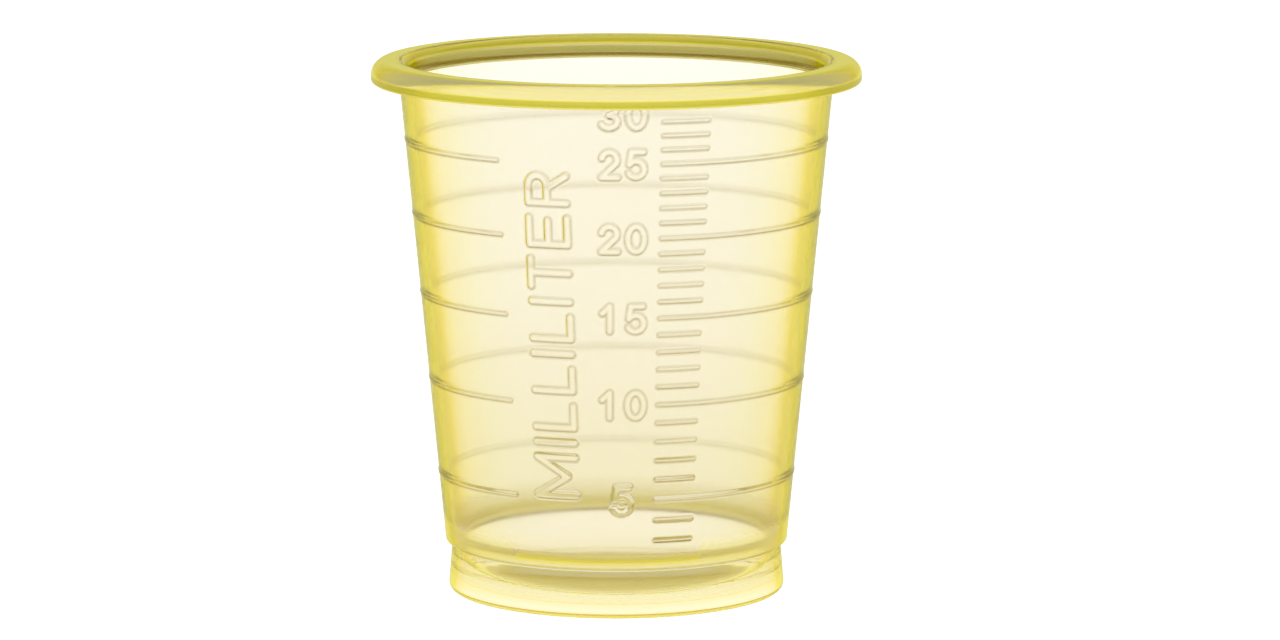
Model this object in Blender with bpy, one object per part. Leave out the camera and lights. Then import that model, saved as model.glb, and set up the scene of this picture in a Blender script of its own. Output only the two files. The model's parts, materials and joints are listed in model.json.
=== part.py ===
"""Medicine measuring cup, 30 ml, moulded in one piece from clear yellow polypropylene.

The vessel is one lathed solid: rolled rim, tapered wall, shoulder, foot and floor. Every raised mark on
its wall is a node of its own: five volume lines, the one-millilitre ticks, the numerals and the letters
of the unit word. Each mark stands a hair off the wall, so that no two solids overlap.

The cup stands on z = 0 with its axis on Z. The marks face -Y. Angles around the cup run from the front,
-Y, towards +X. Lengths are in millimetres until a mesh is made.
"""
import math

import bmesh
import bpy
from mathutils import Vector
from mathutils.geometry import delaunay_2d_cdt

MM = 0.001

# Cup body
HEIGHT = 44.0
SKIN = 0.8                      # thickness of the wall and the foot
FLOOR = 0.73                    # thickness of the floor
WALL_RADIUS_AT_BASE = 13.7      # the wall's outer cone, carried down to the table
WALL_TAPER = 0.0964             # radius gained for each millimetre of height
RIM_RADIUS = 20.1
RIM_DEPTH = 1.82
RIM_CROWN = 1.2                 # rounding of the rim's upper outer edge
RIM_UNDER = 0.3                 # rounding of the rim's lower outer edge
LIP_ROUND = 0.8                 # rounding of the rim's inner edge
NECK_ROUND = 0.2                # fillet where the wall meets the rim
SHOULDER_TOP = 4.2              # where the wall turns in to the foot
SHOULDER_BOTTOM = 4.0
SHOULDER_ROUND = 0.18
LEDGE_FILLET = 0.55             # inside, where the wall meets the ledge above the foot
LEDGE_ROUND = 0.12              # the ledge's own edge
FOOT_TOP_RADIUS = 13.58
FOOT_RADIUS = 13.9
FOOT_ROUND = 0.6
FLOOR_ROUND = 2.4               # fillet between the foot and the floor, inside
SEGMENTS = 96                   # around the cup
ARC_STEPS = 4                   # on each rounded corner of the section

# Graduations
LINE_VOLUMES = (5, 10, 15, 20, 25)
TICK_VOLUMES = [volume for volume in range(3, 29) if volume % 5]
MARK_GAP = 0.02                 # clear space between the wall and a mark
MARK_RELIEF = 0.12              # thickness of a mark
LINE_WIDTH = 0.32
LINE_START = 12.0               # degrees; also the left end of every tick
LINE_END = 327.4                # degrees; the line goes round the right side and the back
TICK_END = 25.3
LINE_STEP = 4.5                 # degrees between the sections of a line

# Numerals and letters
NUMERAL_VOLUMES = (5, 10, 15, 20, 25, 30)
NUMERAL_ANGLE = 1.9             # degrees, middle of a number
NUMERAL_WIDTH = 1.32            # between stroke centres
NUMERAL_HEIGHT = 2.05
NUMERAL_STROKE = 0.54
NUMERAL_PITCH = 2.14
THIRTY_DROP = 1.65              # the 30 sits this far below its true level, clear of the rim
WORD = "MILLILITER"
WORD_ANGLE = -18.7              # degrees, middle of the letters
WORD_BOTTOM = 9.95
LETTER_HEIGHT = 3.2             # between stroke centres
LETTER_STROKE = 0.6
LETTER_GAP = 0.64
LETTER_WIDTHS = {"M": 3.15, "I": 0.0, "L": 1.8, "T": 2.2, "E": 2.15, "R": 2.2}
CURVE_PITCH = 0.55              # widest flat facet of a mark
CAP_STEPS = 5                   # on the round end of a stroke

# Colours, linear RGBA
CUP_YELLOW = (0.80, 0.66, 0.10, 0.42)
MARK_YELLOW = (0.72, 0.56, 0.07, 0.6)


def clear_scene():
    for item in list(bpy.data.objects):
        bpy.data.objects.remove(item, do_unlink=True)


def plastic(name, colour):
    """Clear moulded plastic of one colour."""
    material = bpy.data.materials.new(name)
    material.use_nodes = True
    shader = material.node_tree.nodes["Principled BSDF"]
    shader.inputs["Base Color"].default_value = colour
    shader.inputs["Alpha"].default_value = colour[3]
    shader.inputs["Roughness"].default_value = 0.12
    shader.inputs["Metallic"].default_value = 0.0
    shader.inputs["IOR"].default_value = 1.49
    material.diffuse_color = colour
    return material


def add_object(name, mesh, material):
    mesh.materials.append(material)
    node = bpy.data.objects.new(name, mesh)
    bpy.context.scene.collection.objects.link(node)
    return node


def mesh_from(name, vertices, faces, smooth=False):
    """A closed mesh from points in millimetres, with its faces turned outwards."""
    mesh = bpy.data.meshes.new(name)
    mesh.from_pydata([point * MM for point in vertices], [], faces)
    work = bmesh.new()
    work.from_mesh(mesh)
    bmesh.ops.recalc_face_normals(work, faces=work.faces)
    for face in work.faces:
        face.smooth = smooth
    work.to_mesh(mesh)
    work.free()
    return mesh


def wall_radius(height):
    return WALL_RADIUS_AT_BASE + WALL_TAPER * height


def on_cup(radius, angle, height):
    """The point at an angle, in radians from the front towards +X."""
    return Vector((radius * math.sin(angle), -radius * math.cos(angle), height))


# The vessel

def rounded(corners):
    """Points along an outline of (radius, height, rounding) corners, with each rounding as an arc."""
    outline = []
    for index, (radius, height, rounding) in enumerate(corners):
        corner = Vector((radius, height))
        if rounding == 0.0:
            outline.append(corner)
            continue
        back = (Vector(corners[index - 1][:2]) - corner).normalized()
        ahead = (Vector(corners[index + 1][:2]) - corner).normalized()
        half = back.angle(ahead) / 2
        reach = rounding / math.tan(half)
        centre = corner + (back + ahead).normalized() * rounding / math.sin(half)
        first = corner + back * reach - centre
        last = corner + ahead * reach - centre
        turn = math.atan2(first.cross(last), first.dot(last))
        for step in range(ARC_STEPS + 1):
            angle = turn * step / ARC_STEPS
            spoke = Vector((first.x * math.cos(angle) - first.y * math.sin(angle),
                            first.x * math.sin(angle) + first.y * math.cos(angle)))
            outline.append(centre + spoke)
    return outline


def outer_corners():
    neck = HEIGHT - RIM_DEPTH
    return [
        (0.0, 0.0, 0.0),
        (FOOT_RADIUS, 0.0, FOOT_ROUND),
        (FOOT_TOP_RADIUS, SHOULDER_BOTTOM, SHOULDER_ROUND),
        (wall_radius(SHOULDER_TOP), SHOULDER_TOP, SHOULDER_ROUND),
        (wall_radius(neck), neck, NECK_ROUND),
        (RIM_RADIUS, neck, RIM_UNDER),
        (RIM_RADIUS, HEIGHT, RIM_CROWN),
    ]


def inner_corners():
    """The inside, from the rim down to the middle of the floor."""
    ledge = SHOULDER_BOTTOM + SKIN
    return [
        (wall_radius(HEIGHT) - SKIN, HEIGHT, LIP_ROUND),
        (wall_radius(ledge) - SKIN, ledge + SHOULDER_TOP - SHOULDER_BOTTOM, LEDGE_FILLET),
        (FOOT_TOP_RADIUS - SKIN, ledge, LEDGE_ROUND),
        (FOOT_RADIUS - SKIN, FLOOR, FLOOR_ROUND),
        (0.0, FLOOR, 0.0),
    ]


def build_vessel(material):
    """Lathe the section about Z; its first and last points lie on the axis."""
    section = rounded(outer_corners() + inner_corners())
    work = bmesh.new()
    points = [work.verts.new(Vector((point.x, 0.0, point.y)) * MM) for point in section]
    edges = [work.edges.new(pair) for pair in zip(points, points[1:])]
    bmesh.ops.spin(work, geom=points + edges, axis=(0, 0, 1), cent=(0, 0, 0),
                   angle=math.tau, steps=SEGMENTS, use_merge=True)
    bmesh.ops.remove_doubles(work, verts=work.verts, dist=1e-7)
    bmesh.ops.recalc_face_normals(work, faces=work.faces)
    for face in work.faces:
        face.smooth = True
    mesh = bpy.data.meshes.new("cup_body")
    work.to_mesh(mesh)
    work.free()
    return add_object("cup_body", mesh, material)


# Heights of the graduations, from the cup's own inside

def inside_volume(level):
    """Millilitres that the cup holds when filled to a level."""
    inside = rounded([(0.0, HEIGHT, 0.0)] + inner_corners())[1:]
    volume = 0.0
    for upper, lower in zip(inside, inside[1:]):
        if lower.y >= level or upper.y <= lower.y:
            continue
        top = min(upper.y, level)
        share = (top - lower.y) / (upper.y - lower.y)
        wide = lower.x + share * (upper.x - lower.x)
        volume += math.pi * (top - lower.y) * (wide ** 2 + wide * lower.x + lower.x ** 2) / 3
    return volume / 1000


def level_of(millilitres):
    """The height to which so many millilitres fill the cup."""
    low, high = FLOOR, HEIGHT
    for _ in range(40):
        middle = (low + high) / 2
        if inside_volume(middle) < millilitres:
            low = middle
        else:
            high = middle
    return low


# Marks

def arc_bar(name, level, start, end, material):
    """A bar of square section that follows the wall from one angle to another."""
    count = max(2, math.ceil((end - start) / LINE_STEP))
    angles = [math.radians(start + (end - start) * step / count) for step in range(count + 1)]
    low, high = level - LINE_WIDTH / 2, level + LINE_WIDTH / 2
    vertices = []
    for angle in angles:
        for height, depth in ((low, 0.0), (low, MARK_RELIEF), (high, MARK_RELIEF), (high, 0.0)):
            vertices.append(on_cup(wall_radius(height) + MARK_GAP + depth, angle, height))
    faces = [(0, 1, 2, 3), tuple(len(vertices) - 4 + side for side in (3, 2, 1, 0))]
    for step in range(count):
        base = 4 * step
        for side in range(4):
            other = (side + 1) % 4
            faces.append((base + side, base + other, base + 4 + other, base + 4 + side))
    return add_object(name, mesh_from(name, vertices, faces), material)


def curve(x, y, across, up, start, end, steps=10):
    """Points on an elliptical arc, in degrees from the right, anticlockwise."""
    angles = [math.radians(start + (end - start) * step / steps) for step in range(steps + 1)]
    return [(x + across * math.cos(angle), y + up * math.sin(angle)) for angle in angles]


# Each glyph is a list of strokes on a box one unit wide and one unit high
GLYPHS = {
    "0": [curve(0.5, 0.5, 0.5, 0.5, 0, 360, 24)],
    "1": [[(0.1, 0.72), (0.55, 1.0), (0.55, 0.0)]],
    "2": [curve(0.5, 0.7, 0.46, 0.3, 170, -30) + [(0.02, 0.0), (1.0, 0.0)]],
    "3": [curve(0.47, 0.75, 0.42, 0.25, 155, -90), curve(0.47, 0.25, 0.5, 0.25, 90, -155)],
    "5": [[(0.92, 1.0), (0.2, 1.0), (0.08, 0.5)] + curve(0.48, 0.32, 0.5, 0.32, 125, -150)],
    "M": [[(0.0, 0.0), (0.0, 1.0), (0.5, 0.2), (1.0, 1.0), (1.0, 0.0)]],
    "I": [[(0.0, 0.0), (0.0, 1.0)]],
    "L": [[(0.0, 1.0), (0.0, 0.0), (1.0, 0.0)]],
    "T": [[(0.0, 1.0), (1.0, 1.0)], [(0.5, 1.0), (0.5, 0.0)]],
    "E": [[(1.0, 1.0), (0.0, 1.0), (0.0, 0.0), (1.0, 0.0)], [(0.0, 0.5), (0.9, 0.5)]],
    "R": [[(0.0, 0.0), (0.0, 1.0)] + curve(0.6, 0.75, 0.4, 0.25, 90, -90, 8) + [(0.0, 0.5)],
          [(0.55, 0.5), (1.0, 0.0)]],
}


def capsule(first, last, width):
    """The outline of a straight stroke with round ends."""
    along = (last - first).normalized()
    turn = math.atan2(along.y, along.x)
    outline = []
    for centre, facing in ((last, turn - math.pi / 2), (first, turn + math.pi / 2)):
        for step in range(CAP_STEPS + 1):
            angle = facing + math.pi * step / CAP_STEPS
            outline.append(centre + Vector((math.cos(angle), math.sin(angle))) * width / 2)
    return outline


def flat_glyph(strokes, width, ceiling):
    """Triangles that cover the strokes below a ceiling, in strips narrow enough to bend around the cup."""
    points = []
    outlines = []
    for stroke in strokes:
        for first, last in zip(stroke, stroke[1:]):
            outline = capsule(first, last, width)
            outlines.append(list(range(len(points), len(points) + len(outline))))
            points += outline
    left = min(point.x for point in points)
    right = max(point.x for point in points)
    low = min(point.y for point in points) - width
    high = max(point.y for point in points) + width
    strips = math.ceil((right - left) / CURVE_PITCH)
    cuts = []
    for strip in range(1, strips):
        across = left + (right - left) * strip / strips
        cuts.append((len(points), len(points) + 1))
        points += [Vector((across, low)), Vector((across, high))]
    cuts.append((len(points), len(points) + 1))
    points += [Vector((left - width, ceiling)), Vector((right + width, ceiling))]
    flat, _, triangles, _, _, sources = delaunay_2d_cdt(points, cuts, outlines, 1, 1e-4, True)
    covered = []
    for triangle, outlines_over_it in zip(triangles, sources):
        middle = sum(flat[corner].y for corner in triangle) / 3
        if outlines_over_it and middle < ceiling:
            covered.append(triangle)
    return flat, covered


def wrap_glyph(name, strokes, width, angle, height, material):
    """Raise the strokes off the wall, at an angle and a height."""
    ceiling = HEIGHT - RIM_DEPTH - NECK_ROUND - height
    points, triangles = flat_glyph(strokes, width, ceiling)
    used = sorted({corner for triangle in triangles for corner in triangle})
    place = {corner: index for index, corner in enumerate(used)}
    rows = []
    for depth in (0.0, MARK_RELIEF):
        for corner in used:
            level = height + points[corner].y
            turn = angle + points[corner].x / wall_radius(level)
            rows.append(on_cup(wall_radius(level) + MARK_GAP + depth, turn, level))
    count = len(used)
    front = [[place[corner] + count for corner in triangle] for triangle in triangles]
    back = [[place[corner] for corner in reversed(triangle)] for triangle in triangles]
    rim = {}
    for triangle in triangles:
        for first, last in zip(triangle, triangle[1:] + triangle[:1]):
            if rim.pop((last, first), None) is None:
                rim[(first, last)] = True
    sides = [[place[first], place[last], place[last] + count, place[first] + count] for first, last in rim]
    return add_object(name, mesh_from(name, rows, front + back + sides), material)


def build_lines(material):
    for volume in LINE_VOLUMES:
        arc_bar(f"line_{volume:02d}_ml", level_of(volume), LINE_START, LINE_END, material)
    for volume in TICK_VOLUMES:
        arc_bar(f"tick_{volume:02d}_ml", level_of(volume), LINE_START, TICK_END, material)


def build_numerals(material):
    for volume in NUMERAL_VOLUMES:
        level = level_of(volume) - (THIRTY_DROP if volume == max(NUMERAL_VOLUMES) else 0.0)
        digits = str(volume)
        for index, digit in enumerate(digits):
            middle = (index - (len(digits) - 1) / 2) * NUMERAL_PITCH
            strokes = [[Vector((middle + (x - 0.5) * NUMERAL_WIDTH, (y - 0.5) * NUMERAL_HEIGHT))
                        for x, y in stroke] for stroke in GLYPHS[digit]]
            wrap_glyph(f"numeral_{volume:02d}_digit_{index + 1}", strokes, NUMERAL_STROKE,
                       math.radians(NUMERAL_ANGLE), level, material)


def build_word(material):
    """The unit word reads upwards, so a letter's own right is up the wall."""
    level = WORD_BOTTOM
    for index, letter in enumerate(WORD):
        width = LETTER_WIDTHS[letter]
        level += LETTER_STROKE / 2
        strokes = [[Vector(((0.5 - y) * LETTER_HEIGHT, x * width)) for x, y in stroke]
                   for stroke in GLYPHS[letter]]
        wrap_glyph(f"letter_{index + 1:02d}_{letter}", strokes, LETTER_STROKE,
                   math.radians(WORD_ANGLE), level, material)
        level += width + LETTER_STROKE / 2 + LETTER_GAP


def main():
    clear_scene()
    marks = plastic("yellow_plastic_marks", MARK_YELLOW)
    build_vessel(plastic("yellow_plastic", CUP_YELLOW))
    build_lines(marks)
    build_numerals(marks)
    build_word(marks)


main()
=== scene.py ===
"""The looks of the yellow medicine cup: one fused skin with its raised marks, in clear moulded plastic."""

import json
import math

import bmesh
import bpy
import numpy as np
from mathutils import Matrix, Vector

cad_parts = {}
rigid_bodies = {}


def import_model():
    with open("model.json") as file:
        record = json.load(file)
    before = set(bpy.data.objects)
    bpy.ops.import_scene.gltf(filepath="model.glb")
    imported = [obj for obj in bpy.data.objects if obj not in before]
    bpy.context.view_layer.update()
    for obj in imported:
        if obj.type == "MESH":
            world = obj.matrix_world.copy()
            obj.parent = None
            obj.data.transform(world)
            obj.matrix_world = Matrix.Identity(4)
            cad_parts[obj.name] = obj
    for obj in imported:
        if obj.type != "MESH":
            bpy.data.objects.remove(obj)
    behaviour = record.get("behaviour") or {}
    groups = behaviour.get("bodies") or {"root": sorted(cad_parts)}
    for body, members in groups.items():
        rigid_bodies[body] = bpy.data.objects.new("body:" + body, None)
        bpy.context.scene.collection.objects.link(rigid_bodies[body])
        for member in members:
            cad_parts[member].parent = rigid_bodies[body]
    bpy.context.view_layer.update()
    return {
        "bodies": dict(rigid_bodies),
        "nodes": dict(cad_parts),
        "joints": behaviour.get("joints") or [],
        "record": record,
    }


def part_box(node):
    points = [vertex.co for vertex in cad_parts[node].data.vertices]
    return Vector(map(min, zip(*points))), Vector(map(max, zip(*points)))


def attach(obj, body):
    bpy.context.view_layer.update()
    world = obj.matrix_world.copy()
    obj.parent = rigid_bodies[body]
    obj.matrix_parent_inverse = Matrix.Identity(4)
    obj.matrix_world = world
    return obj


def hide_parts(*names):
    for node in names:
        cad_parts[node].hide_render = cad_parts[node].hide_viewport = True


MM = 0.001
HAIR = 0.001                    # millimetres; nearer than this counts as touching
FLAT = 1e-9                     # less steep than this counts as flat

# Section of the cup, in millimetres, as the CAD part has it, but for the softer edge of the ledge
SKIN = 0.8
FLOOR = 0.73
WALL_RADIUS_AT_BASE = 13.7
WALL_TAPER = 0.0964
RIM_DEPTH = 1.82
RIM_CROWN = 1.2
RIM_UNDER = 0.3
LIP_ROUND = 0.8
NECK_ROUND = 0.2
SHOULDER_TOP = 4.2
SHOULDER_BOTTOM = 4.0
SHOULDER_ROUND = 0.18
LEDGE = SHOULDER_BOTTOM + SKIN
LEDGE_FILLET = 0.55
LEDGE_ROUND = 0.3               # 0.12 in the CAD
FOOT_TOP_RADIUS = 13.58
FOOT_RADIUS = 13.9
FOOT_ROUND = 0.6
FLOOR_ROUND = 2.4
ARC_STEPS = 8
LONG_STRETCH = 0.6
BRACES = (0.08, 0.6, 1.2, 2.2)  # points this far from the ends of a long stretch keep its shading flat

# Marks, in millimetres and degrees
LINE_RELIEF = 0.06
GLYPH_RELIEF = 0.09
RELIEF_EDGE = 0.12              # width of the slope from the wall up to a mark's top
LINE_WIDTH = 0.32
LINE_START = 12.0
LINE_END = -32.6
TICK_END = 25.3
NUMERAL_ANGLE = 1.9
NUMERAL_WIDTH = 1.32
NUMERAL_HEIGHT = 2.05
NUMERAL_STROKE = 0.54
NUMERAL_PITCH = 2.14
WORD_ANGLE = -18.7
LETTER_HEIGHT = 3.2
LETTER_STROKE = 0.6
LETTER_WIDTHS = {"M": 3.15, "I": 0.0, "L": 1.8, "T": 2.2, "E": 2.15, "R": 2.2}
CURVE_STEPS = 20
CLOSED_CURVE_STEPS = 40
GLYPH_MIDDLE = 1.5              # above a glyph's bottom
GLYPH_REACH = 3.0               # beyond this from its middle, a glyph leaves the wall as it is

# Mesh, in degrees and millimetres
FINE_FROM = -34.0               # the columns are fine over the marks
FINE_TO = 28.0
FINE_PITCH = 0.365              # about 0.1 mm on the wall
COARSE_PITCH = 3.0
ROW_PITCH = 0.115
COARSE_ROW = 2.4

# Clear plastic: how much light goes through it, where it is thin and where its colour is deepest
PLASTIC_IOR = 1.49
TRANSMISSION = 0.955
DEEP_TRANSMISSION = 0.42
EDGE_HAZE = 1.6                 # what a glancing view takes off it, in places with a deeper colour
HAZE_DEPTHS = (0.14, 0.28)      # depth of colour where that starts, and where it is full
ABSORB_COLOUR = (0.896, 0.792, 0.16)
ABSORB_DENSITY = 100.0          # per metre

# Its surface, as a polished mould leaves it
ROUGHNESS = (0.04, 0.12)
GLOSS_SCALE = 300.0
GLOSS_DETAIL = 4.0
WAVE_SCALE = 450.0
WAVE_DETAIL = 2.0
WAVE_HEIGHT = 0.000002          # metres

# Its underside, which the table wets
CONTACT_COLOUR = (1.0, 0.99, 0.92)
CONTACT_ROUGHNESS = 0.3
CONTACT_IOR = 1.0

# Painted shade by reflectance: tints that darken and deepen the yellow from a square view of the surface to
# a glancing one, for the darker edges that clear plastic shows edge-on
GLANCE_SHADE_TINTS = ((0.039, (0.98, 0.965, 0.945)), (0.05, (0.98, 0.965, 0.9)), (0.065, (0.985, 0.96, 0.84)),
              (0.105, (0.99, 0.95, 0.74)), (0.158, (0.98, 0.885, 0.46)), (0.235, (0.87, 0.775, 0.03)),
              (0.4, (0.82, 0.78, 0.035)), (1.0, (0.86, 0.82, 0.04)))

# Tints by depth of colour and painted shade, from 0 in the thin wall to 1 in the thickest and darkest places
DEPTH_AND_SHADE_TINTS = ((0.0, (1.0, 1.0, 1.0)), (0.15, (1.0, 0.975, 0.84)), (0.5, (0.97, 0.9, 0.4)),
               (0.75, (0.95, 0.85, 0.15)), (1.0, (0.52, 0.49, 0.02)))

# Depth of colour and painted shade over the cup, as (places, depths), with the places in millimetres: down
# from the top for the rim and the lip inside it, and out from the middle for the floor
# These depths follow the plastic's thickness in part, and in part are painted light and dark bands
RIM_BANDS = ((0.0, 0.45, 0.65, 0.95, 1.2, 1.6, 1.82), (0.3, 0.52, 0.52, 0.4, 0.95, 1.0, 0.6))
LIP_BANDS = ((0.0, 0.06, 0.5, 0.8, 0.9), (0.25, 0.8, 1.0, 0.1, 0.0))
FLOOR_BANDS = ((9.8, 11.4), (0.8, 0.1))
FLOOR_FILM = 0.1                # the floor's colour reaches this far up its rounded edge
LEDGE_DEPTH = 0.82              # at the ledge, and fading up and down from it
LEDGE_REACH = 0.9
LOW_WALL_DEPTH = 0.13           # at the shoulder, and fading up from it
LOW_WALL_REACH = 18.0

# Painted shade on the marks' slopes: darker outlines where the slopes would bend light away
SLOPE_SHADE_COLOUR = (0.32, 0.22, 0.01)
SLOPE_REACH = 0.16              # millimetres to each side of a slope's middle
SIDE_SHADE = 0.75                # of the painted shade on sideways slopes, all on those facing down, half on those facing up, as if lit from above
WORD_REACH = 7.0                # degrees to each side of the word's middle
WORD_SHADE = ((16.0, 27.0), (0.0, 1.0))  # (heights, depths) of the left edges of the word's letters

# Stage, in metres
TABLE_RADIUS = 4.0
TABLE_SIDES = 96
TABLE_GAP = 0.00002
TABLE_COLOUR = (0.1, 0.1, 0.1)
TABLE_ROUGHNESS = 0.6
TABLE_LIGHT = 1.02
WORLD_LIGHT = 1.0
WHITE = (1.0, 1.0, 1.0)
BOUNCED_LIGHT = (0.97, 0.93, 0.68)
MIRROR_LIGHT = (0.58, 0.54, 0.28)

# Camera, measured from the cup's own foot, in millimetres
CAMERA_PLACE = (1.94, -511.3, 102.96)
CAMERA_DOWN = 8.961             # degrees below the horizon
CAMERA_ROLL = 0.03
LENS = 176.7
SENSOR_WIDTH = 36.0
CLIP_START = 0.01               # metres
CLIP_END = 20.0


def wall_radius(height):
    return WALL_RADIUS_AT_BASE + WALL_TAPER * height


# The section

def rounded(corners):
    """Points along an outline of (radius, height, rounding) corners, with each rounding as an arc."""
    outline = []
    for index, (radius, height, rounding) in enumerate(corners):
        corner = Vector((radius, height))
        if rounding == 0.0:
            outline.append(corner)
            continue
        back = (Vector(corners[index - 1][:2]) - corner).normalized()
        ahead = (Vector(corners[index + 1][:2]) - corner).normalized()
        half = back.angle(ahead) / 2
        reach = rounding / math.tan(half)
        centre = corner + (back + ahead).normalized() * rounding / math.sin(half)
        first = corner + back * reach - centre
        last = corner + ahead * reach - centre
        turn = math.atan2(first.cross(last), first.dot(last))
        for step in range(ARC_STEPS + 1):
            outline.append(centre + Matrix.Rotation(turn * step / ARC_STEPS, 2) @ first)
    return outline


def braced(outline):
    """The outline with more points near the ends of its long stretches, to keep shading and tints clean."""
    points = [outline[0]]
    for first, last in zip(outline, outline[1:]):
        length = (last - first).length
        if length > LONG_STRETCH:
            reaches = [reach / length for reach in BRACES if reach < length / 2]
            points += [first.lerp(last, reach) for reach in reaches]
            points += [last.lerp(first, reach) for reach in reversed(reaches)]
        points.append(last)
    return points


def section(height, rim_radius):
    """(below the wall, above and inside the wall): the outline split where the marked wall goes."""
    neck = height - RIM_DEPTH
    corners = [
        (0.0, 0.0, 0.0),
        (FOOT_RADIUS, 0.0, FOOT_ROUND),
        (FOOT_TOP_RADIUS, SHOULDER_BOTTOM, SHOULDER_ROUND),
        (wall_radius(SHOULDER_TOP), SHOULDER_TOP, SHOULDER_ROUND),
        (wall_radius(neck), neck, NECK_ROUND),
        (rim_radius, neck, RIM_UNDER),
        (rim_radius, height, RIM_CROWN),
        (wall_radius(height) - SKIN, height, LIP_ROUND),
        (wall_radius(LEDGE) - SKIN, LEDGE + SHOULDER_TOP - SHOULDER_BOTTOM, LEDGE_FILLET),
        (FOOT_TOP_RADIUS - SKIN, LEDGE, LEDGE_ROUND),
        (FOOT_RADIUS - SKIN, FLOOR, FLOOR_ROUND),
        (0.0, FLOOR, 0.0),
    ]
    outline = rounded(corners)
    wall_start = 1 + 3 * (ARC_STEPS + 1)    # after the middle of the underside and three roundings
    return braced(outline[:wall_start]), braced(outline[wall_start:])


# Strokes of the marks

def curve(x, y, across, up, start, end, steps=CURVE_STEPS):
    """Points on an elliptical arc, in degrees from the right, anticlockwise."""
    angles = [math.radians(start + (end - start) * step / steps) for step in range(steps + 1)]
    return [(x + across * math.cos(angle), y + up * math.sin(angle)) for angle in angles]


# Each glyph is a list of strokes on a box one unit wide and one unit high
GLYPHS = {
    "0": [curve(0.5, 0.5, 0.5, 0.5, 0, 360, CLOSED_CURVE_STEPS)],
    "1": [[(0.1, 0.72), (0.55, 1.0), (0.55, 0.0)]],
    "2": [curve(0.5, 0.7, 0.46, 0.3, 170, -30) + [(0.02, 0.0), (1.0, 0.0)]],
    "3": [curve(0.47, 0.75, 0.42, 0.25, 155, -90), curve(0.47, 0.25, 0.5, 0.25, 90, -155)],
    "5": [[(0.92, 1.0), (0.2, 1.0), (0.08, 0.5)] + curve(0.48, 0.32, 0.5, 0.32, 125, -150)],
    "M": [[(0.0, 0.0), (0.0, 1.0), (0.5, 0.2), (1.0, 1.0), (1.0, 0.0)]],
    "I": [[(0.0, 0.0), (0.0, 1.0)]],
    "L": [[(0.0, 1.0), (0.0, 0.0), (1.0, 0.0)]],
    "T": [[(0.0, 1.0), (1.0, 1.0)], [(0.5, 1.0), (0.5, 0.0)]],
    "E": [[(1.0, 1.0), (0.0, 1.0), (0.0, 0.0), (1.0, 0.0)], [(0.0, 0.5), (0.9, 0.5)]],
    "R": [[(0.0, 0.0), (0.0, 1.0)] + curve(0.6, 0.75, 0.4, 0.25, 90, -90) + [(0.0, 0.5)],
          [(0.55, 0.5), (1.0, 0.0)]],
}


def stroke_distance(across, up, strokes):
    """How far each point lies from the nearest stroke's middle line."""
    nearest = np.full(across.shape, np.inf)
    for stroke in strokes:
        for (x0, y0), (x1, y1) in zip(stroke, stroke[1:]):
            run, rise = x1 - x0, y1 - y0
            along = ((across - x0) * run + (up - y0) * rise) / (run * run + rise * rise)
            along = np.clip(along, 0.0, 1.0)
            nearest = np.minimum(nearest, np.hypot(across - x0 - along * run, up - y0 - along * rise))
    return nearest


def raised(distance, width, stand):
    """Height of a mark at a distance from its middle line: a flat top with softly rounded edges."""
    rise = np.clip((width / 2 + RELIEF_EDGE / 2 - distance) / RELIEF_EDGE, 0.0, 1.0)
    return stand * rise * rise * (3 - 2 * rise)


def slope_tint(distance, width):
    """Mask of painted shade: 1 on a mark's slope, fading to 0 on both sides of it."""
    return np.clip(1.0 - np.abs(distance - width / 2) / SLOPE_REACH, 0.0, 1.0)


def lowest_height(node):
    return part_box(node)[0].z / MM


def middle_height(node):
    low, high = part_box(node)
    return (low.z + high.z) / 2 / MM


def glyph_marks(frame):
    """(strokes, width, angle, height) of each numeral and letter, at the place its CAD node has."""
    marks = []
    for node in sorted(frame["nodes"]):
        parts = node.split("_")
        if parts[0] == "numeral":
            digits, place = str(int(parts[1])), int(parts[3]) - 1
            middle = (place - (len(digits) - 1) / 2) * NUMERAL_PITCH
            bottom = lowest_height(node) + NUMERAL_STROKE / 2
            strokes = [[(middle + (x - 0.5) * NUMERAL_WIDTH, y * NUMERAL_HEIGHT) for x, y in stroke]
                       for stroke in GLYPHS[digits[place]]]
            marks.append((strokes, NUMERAL_STROKE, NUMERAL_ANGLE, bottom))
        elif parts[0] == "letter":
            bottom = lowest_height(node) + LETTER_STROKE / 2
            strokes = [[((0.5 - y) * LETTER_HEIGHT, x * LETTER_WIDTHS[parts[2]]) for x, y in stroke]
                       for stroke in GLYPHS[parts[2]]]
            marks.append((strokes, LETTER_STROKE, WORD_ANGLE, bottom))
    return marks


def bar_distance(angle, height, level, start, end):
    """Distance to a bar that follows the wall from one angle to another, with round ends."""
    radius = wall_radius(height)
    tip = LINE_WIDTH / 2
    before = start * radius + tip - angle * radius
    after = angle * radius - end * radius + tip
    return np.hypot(np.maximum(np.maximum(before, after), 0), height - level)


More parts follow.
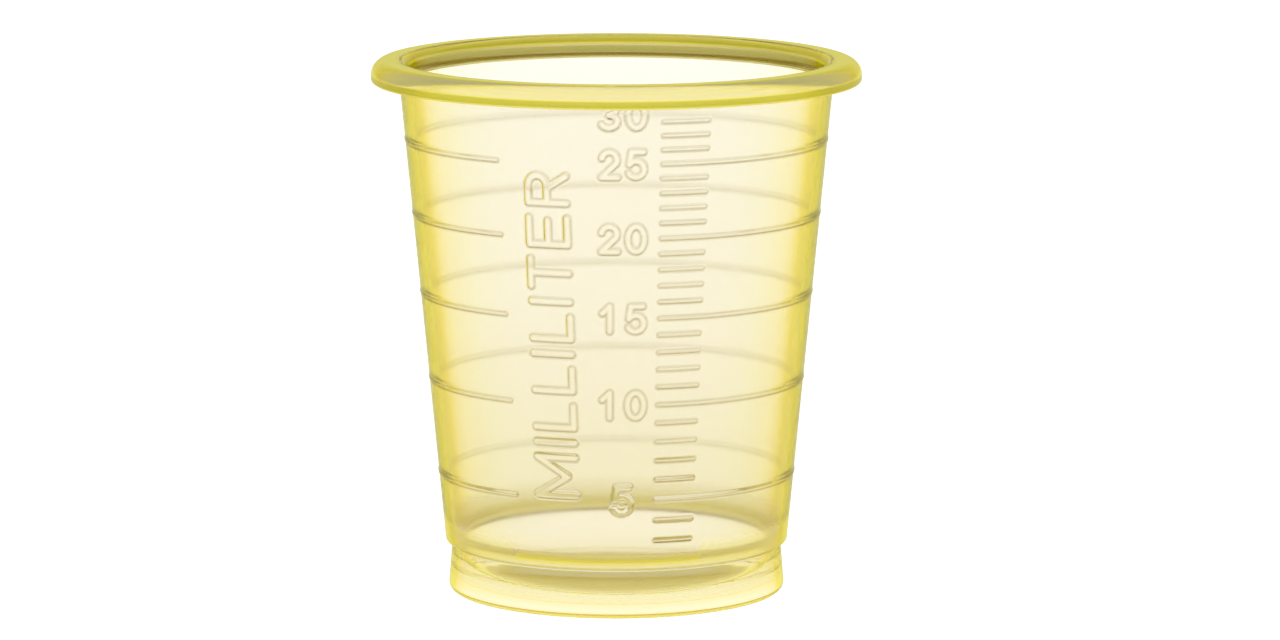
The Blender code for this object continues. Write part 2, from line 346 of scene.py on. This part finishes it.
def relief(frame, angle, height):
    """How far the skin stands off the bare wall, and the mask of painted shade on its slopes, at angles
    (radians) and heights.
    """
    stand = np.zeros(angle.shape)
    shade_mask = np.zeros(angle.shape)
    start = math.radians(LINE_START)
    line_end = math.radians(LINE_END) + math.tau
    around = np.where(angle < math.radians((LINE_START + LINE_END) / 2), angle + math.tau, angle)
    for node in frame["nodes"]:
        kind = node.split("_")[0]
        if kind == "line":
            far = bar_distance(around, height, middle_height(node), start, line_end)
        elif kind == "tick":
            far = bar_distance(angle, height, middle_height(node), start, math.radians(TICK_END))
        else:
            continue
        stand = np.maximum(stand, raised(far, LINE_WIDTH, LINE_RELIEF))
        shade_mask = np.maximum(shade_mask, slope_tint(far, LINE_WIDTH))
    for strokes, width, degrees, bottom in glyph_marks(frame):
        across = (angle - math.radians(degrees)) * wall_radius(height)
        near = (np.abs(across) < GLYPH_REACH) & (np.abs(height - bottom - GLYPH_MIDDLE) < GLYPH_REACH)
        far = stroke_distance(across[near], height[near] - bottom, strokes)
        stand[near] = np.maximum(stand[near], raised(far, width, GLYPH_RELIEF))
        shade_mask[near] = np.maximum(shade_mask[near], slope_tint(far, width))
    return stand, shade_mask


def shaded(heights, angles, stand, shade_mask):
    """Painted shade on the slopes, strongest on a mark's lower side, and painted shade as deep colour on the
    word's left edges.
    """
    rise = np.gradient(stand, heights, axis=0)
    run = np.gradient(stand, angles * wall_radius(heights.mean()), axis=1)
    steepness = np.maximum(np.hypot(rise, run), FLAT)
    slopes = shade_mask * (SIDE_SHADE + (1.0 - SIDE_SHADE) * rise / steepness)
    word = np.abs(np.degrees(angles) - WORD_ANGLE) < WORD_REACH
    upper = np.interp(heights, *WORD_SHADE)
    # painted shade: deep colour on the left-facing slopes of the word's upper letters
    edges = shade_mask * np.clip(run / steepness, 0.0, 1.0) * word * upper[:, None]
    return slopes, edges


# The skin

def depth_of_colour(radius, height, top):
    """How deep the plastic's colour and painted shade are, from 0 to 1: deeper in the rim, lip, ledge, low
    wall and floor, partly for their thickness and partly as painted light and dark bands.
    """
    if radius > wall_radius(height) + NECK_ROUND and height > top - RIM_DEPTH:
        return np.interp(top - height, *RIM_BANDS)
    if radius < WALL_RADIUS_AT_BASE - SKIN and FLOOR / 2 < height < FLOOR + FLOOR_FILM:
        return np.interp(radius, *FLOOR_BANDS)
    depths = [0.0, LEDGE_DEPTH * (1.0 - abs(height - LEDGE) / LEDGE_REACH)]
    if height >= SHOULDER_BOTTOM:
        depths.append(LOW_WALL_DEPTH * (1.0 - max(height - SHOULDER_TOP, 0.0) / LOW_WALL_REACH))
    if radius < wall_radius(height) - SKIN / 2 or height > top - HAIR:
        depths.append(np.interp(top - height, *LIP_BANDS))
    return max(depths)


def column_angles():
    """Angles of the columns round the cup, and how many of them, from the first, are fine."""
    fine = round((FINE_TO - FINE_FROM) / FINE_PITCH)
    coarse = round((360.0 - FINE_TO + FINE_FROM) / COARSE_PITCH)
    angles = list(np.linspace(FINE_FROM, FINE_TO, fine + 1))
    angles += list(np.linspace(FINE_TO, FINE_FROM + 360.0, coarse + 1)[1:-1])
    return np.radians(angles), fine


def wall_rows(frame, low, high):
    """Heights of the wall's rows, and the rows that the coarse columns keep: those by the volume lines."""
    count = round((high - low) / ROW_PITCH)
    heights = np.linspace(low, high, count + 1)[1:-1]
    keep = np.zeros(len(heights), bool)
    keep[::round(COARSE_ROW / ROW_PITCH)] = True
    keep[[0, 1, -2, -1]] = True
    for node in frame["nodes"]:
        if node.startswith("line"):
            keep |= np.abs(heights - middle_height(node)) < LINE_WIDTH / 2 + RELIEF_EDGE + 2 * ROW_PITCH
    return heights, keep


def join(work, lower, upper):
    """Quads between two full rings."""
    for column, corner in enumerate(lower):
        after = (column + 1) % len(lower)
        work.faces.new((corner, lower[after], upper[after], upper[column]))


def cap(work, middle, ring):
    """Triangles from a middle point to a full ring."""
    for column, corner in enumerate(ring):
        work.faces.new((middle, corner, ring[(column + 1) % len(ring)]))


def fill_wall(work, rows, keep, fine):
    """Faces between the wall's rows: a fine grid over the marks, and tall faces over the coarse columns."""
    columns = len(rows[0])
    for first, last in zip(rows, rows[1:]):
        for column in range(fine):
            work.faces.new((first[column], first[column + 1], last[column + 1], last[column]))
    kept = [0] + [row + 1 for row in range(len(keep)) if keep[row]] + [len(rows) - 1]
    for first, last in zip(kept, kept[1:]):
        for column in range(fine, columns):
            after = (column + 1) % columns
            left = range(last, first - 1, -1) if column == fine else (last, first)
            right = range(first, last + 1) if after == 0 else (first, last)
            work.faces.new([rows[row][column] for row in left] + [rows[row][after] for row in right])


def build_skin(frame, clear, contact):
    """One closed mesh: full rings below and above, and between them the wall with its marks."""
    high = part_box("cup_body")[1]
    top = high.z / MM
    below, above = section(top, high.x / MM)
    angles, fine = column_angles()
    heights, keep = wall_rows(frame, below[-1].y, above[0].y)
    stand, shade_mask = relief(frame, *np.meshgrid(angles, heights))
    slopes, edges = shaded(heights, angles, stand, shade_mask)

    work = bmesh.new()
    slope = work.verts.layers.float.new("mark_slope_shade")
    depth = work.verts.layers.float.new("colour_depth_and_shade")

    # each point also carries the painted shade of the marks' slopes and of the word's left edges
    def point(radius, angle, height, slope_shade_here=0.0, least_shade_depth=0.0):
        corner = work.verts.new(Vector((radius * math.sin(angle), -radius * math.cos(angle), height)) * MM)
        corner[slope] = slope_shade_here
        corner[depth] = max(depth_of_colour(radius, height, top), least_shade_depth)
        return corner

    def ring(spot):
        return [point(spot.x, angle, spot.y) for angle in angles]

    lower_rings = [ring(spot) for spot in below[1:]]
    upper_rings = [ring(spot) for spot in above[:-1]]
    for rings in (lower_rings, upper_rings):
        for lower, upper in zip(rings, rings[1:]):
            join(work, lower, upper)
    cap(work, point(0.0, 0.0, below[0].y), lower_rings[0])
    cap(work, point(0.0, 0.0, above[-1].y), upper_rings[-1])

    wall = [[None] * len(angles) for _ in heights]
    for row, height in enumerate(heights):
        for column, angle in enumerate(angles):
            if column <= fine or keep[row]:
                radius = wall_radius(height) + stand[row, column]
                wall[row][column] = point(radius, angle, height, slopes[row, column], edges[row, column])
    fill_wall(work, [lower_rings[-1]] + wall + [upper_rings[0]], keep, fine)

    bmesh.ops.recalc_face_normals(work, faces=work.faces)
    for face in work.faces:
        face.smooth = True
        if max(corner.co.z for corner in face.verts) < HAIR * MM:
            face.material_index = 1
    mesh = bpy.data.meshes.new("medicine_cup")
    work.to_mesh(mesh)
    work.free()
    mesh.materials.append(clear)
    mesh.materials.append(contact)
    cup = bpy.data.objects.new("medicine_cup", mesh)
    bpy.context.scene.collection.objects.link(cup)
    return cup


# Shader nodes

def feed(tree, value, socket):
    """Give a socket its value: a link from another socket, or a constant."""
    if isinstance(value, bpy.types.NodeSocket):
        tree.links.new(value, socket)
    else:
        socket.default_value = value


def painted(tree, name):
    """The value painted on the mesh's points under a name."""
    node = tree.nodes.new("ShaderNodeAttribute")
    node.attribute_name = name
    return node.outputs["Fac"]


def noise(tree, scale, detail):
    """Noise that keeps its place on the object."""
    place = tree.nodes.new("ShaderNodeTexCoord")
    node = tree.nodes.new("ShaderNodeTexNoise")
    node.inputs["Scale"].default_value = scale
    node.inputs["Detail"].default_value = detail
    tree.links.new(place.outputs["Object"], node.inputs["Vector"])
    return node.outputs["Fac"]


def computed(tree, operation, *values, clamped=False):
    """The result of a sum on values, each a socket or a constant."""
    node = tree.nodes.new("ShaderNodeMath")
    node.operation = operation
    node.use_clamp = clamped
    for value, socket in zip(values, node.inputs):
        feed(tree, value, socket)
    return node.outputs["Value"]


def remapped(tree, value, source, target):
    """A value carried over from one range of numbers to another."""
    node = tree.nodes.new("ShaderNodeMapRange")
    tree.links.new(value, node.inputs["Value"])
    for name, number in zip(("From Min", "From Max", "To Min", "To Max"), source + target):
        node.inputs[name].default_value = number
    return node.outputs["Result"]


def ramped(tree, value, stops):
    """The colour that a value has on a ramp of (value, colour) stops."""
    node = tree.nodes.new("ShaderNodeValToRGB")
    elements = node.color_ramp.elements
    while len(elements) < len(stops):
        elements.new(1.0)
    for element, (place, colour) in zip(elements, stops):
        element.position = place
        element.color = (*colour, 1.0)
    tree.links.new(value, node.inputs["Fac"])
    return node.outputs["Color"]


def mixed(tree, blend, amount, first, second):
    """A second colour blended into the first by an amount."""
    node = tree.nodes.new("ShaderNodeMix")
    node.data_type = "RGBA"
    node.blend_type = blend
    for name, value in (("Factor", amount), ("A", first), ("B", second)):
        feed(tree, value, node.inputs[name])
    return node.outputs["Result"]


# Materials

def new_material(name):
    material = bpy.data.materials.new(name)
    material.use_nodes = True
    return material, material.node_tree, material.node_tree.nodes["Principled BSDF"]


def mould_surface(tree, shader):
    """The faint unevenness of a polished mould: the gloss varies, and the surface waves a little."""
    gloss = remapped(tree, noise(tree, GLOSS_SCALE, GLOSS_DETAIL), (0.0, 1.0), ROUGHNESS)
    tree.links.new(gloss, shader.inputs["Roughness"])
    bump = tree.nodes.new("ShaderNodeBump")
    bump.inputs["Strength"].default_value = 1.0
    bump.inputs["Distance"].default_value = WAVE_HEIGHT
    tree.links.new(noise(tree, WAVE_SCALE, WAVE_DETAIL), bump.inputs["Height"])
    tree.links.new(bump.outputs["Normal"], shader.inputs["Normal"])


def fill_with_colour(tree):
    """The plastic's own colour, which grows with the way the light goes through it."""
    absorb = tree.nodes.new("ShaderNodeVolumeAbsorption")
    absorb.inputs["Color"].default_value = (*ABSORB_COLOUR, 1.0)
    absorb.inputs["Density"].default_value = ABSORB_DENSITY
    tree.links.new(absorb.outputs["Volume"], tree.nodes["Material Output"].inputs["Volume"])


def clear_yellow_plastic():
    """Clear, with painted shade in its base colour: darker and deeper yellow at a glancing view, in thick
    places and painted bands, and on the marks' slopes.
    """
    material, tree, shader = new_material("clear_yellow_plastic")
    shader.inputs["IOR"].default_value = PLASTIC_IOR
    mould_surface(tree, shader)
    fill_with_colour(tree)
    fresnel = tree.nodes.new("ShaderNodeFresnel")
    fresnel.inputs["IOR"].default_value = PLASTIC_IOR
    glance = fresnel.outputs["Fac"]
    depth = painted(tree, "colour_depth_and_shade")
    slope = painted(tree, "mark_slope_shade")

    # painted shade: the base colour turns darker and deeper yellow towards glancing views
    glance_shade_tint = ramped(tree, glance, GLANCE_SHADE_TINTS)
    # partly the plastic's deeper colour in thick places, partly painted light and dark bands
    depth_and_shade_tint = ramped(tree, depth, DEPTH_AND_SHADE_TINTS)
    colour = mixed(tree, "MULTIPLY", 1.0, glance_shade_tint, depth_and_shade_tint)
    # painted shade: darker outlines on the marks' slopes
    colour = mixed(tree, "MULTIPLY", slope, colour, (*SLOPE_SHADE_COLOUR, 1.0))
    tree.links.new(colour, shader.inputs["Base Color"])

    clearness = remapped(tree, depth, (0.0, 1.0), (TRANSMISSION, DEEP_TRANSMISSION))
    haze = computed(tree, "MULTIPLY", glance, remapped(tree, depth, HAZE_DEPTHS, (0.0, 1.0)))
    clearness = computed(tree, "MULTIPLY_ADD", haze, -EDGE_HAZE, clearness, clamped=True)
    tree.links.new(clearness, shader.inputs["Transmission Weight"])
    return material


def contact_plastic():
    """The underside, which the table wets: light passes it without bending."""
    material, tree, shader = new_material("contact_yellow_plastic")
    shader.inputs["Transmission Weight"].default_value = 1.0
    shader.inputs["IOR"].default_value = CONTACT_IOR
    shader.inputs["Roughness"].default_value = CONTACT_ROUGHNESS
    shader.inputs["Base Color"].default_value = (*CONTACT_COLOUR, 1.0)
    fill_with_colour(tree)
    return material


def pale_floor():
    """A white table that glows as evenly as the studio round it."""
    material, tree, shader = new_material("white_table")
    shader.inputs["Base Color"].default_value = (*TABLE_COLOUR, 1.0)
    shader.inputs["Roughness"].default_value = TABLE_ROUGHNESS
    shader.inputs["Emission Strength"].default_value = TABLE_LIGHT
    tree.links.new(filtered_white(tree), shader.inputs["Emission Color"])
    material.cycles.emission_sampling = "NONE"      # it is seen, and lights nothing that needs sampling
    return material


# Stage

def build_floor():
    mesh = bpy.data.meshes.new("table")
    work = bmesh.new()
    bmesh.ops.create_circle(work, cap_ends=True, radius=TABLE_RADIUS, segments=TABLE_SIDES)
    work.to_mesh(mesh)
    work.free()
    mesh.materials.append(pale_floor())
    table = bpy.data.objects.new("table", mesh)
    table.location.z = -TABLE_GAP
    bpy.context.scene.collection.objects.link(table)


def filtered_white(tree):
    """White light: a little yellower once it has bounced, and dim in mirrors, as through a polariser."""
    path = tree.nodes.new("ShaderNodeLightPath")
    bounced = computed(tree, "MINIMUM", path.outputs["Glossy Depth"], 1.0)
    mirror = computed(tree, "MULTIPLY", path.outputs["Is Glossy Ray"], path.outputs["Is Reflection Ray"])
    light = mixed(tree, "MIX", bounced, (*WHITE, 1.0), (*BOUNCED_LIGHT, 1.0))
    return mixed(tree, "MIX", mirror, light, (*MIRROR_LIGHT, 1.0))


def build_light():
    world = bpy.data.worlds.new("studio")
    world.use_nodes = True
    background = world.node_tree.nodes["Background"]
    world.node_tree.links.new(filtered_white(world.node_tree), background.inputs["Color"])
    background.inputs["Strength"].default_value = WORLD_LIGHT
    bpy.context.scene.world = world
    bpy.context.scene.view_settings.view_transform = "Standard"


def build_camera():
    data = bpy.data.cameras.new("camera")
    data.lens = LENS
    data.sensor_width = SENSOR_WIDTH
    data.clip_start = CLIP_START
    data.clip_end = CLIP_END
    camera = bpy.data.objects.new("camera", data)
    camera.location = Vector(CAMERA_PLACE) * MM
    tilt = Matrix.Rotation(math.radians(90.0 - CAMERA_DOWN), 3, "X")
    roll = Matrix.Rotation(math.radians(CAMERA_ROLL), 3, "Z")
    camera.rotation_euler = (tilt @ roll).to_euler()
    bpy.context.scene.collection.objects.link(camera)
    bpy.context.scene.camera = camera


def corners(box):
    return [list(corner) for corner in box]


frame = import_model()
build_camera()
build_floor()
build_light()
cup = build_skin(frame, clear_yellow_plastic(), contact_plastic())
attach(cup, "root")
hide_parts(*frame["nodes"])
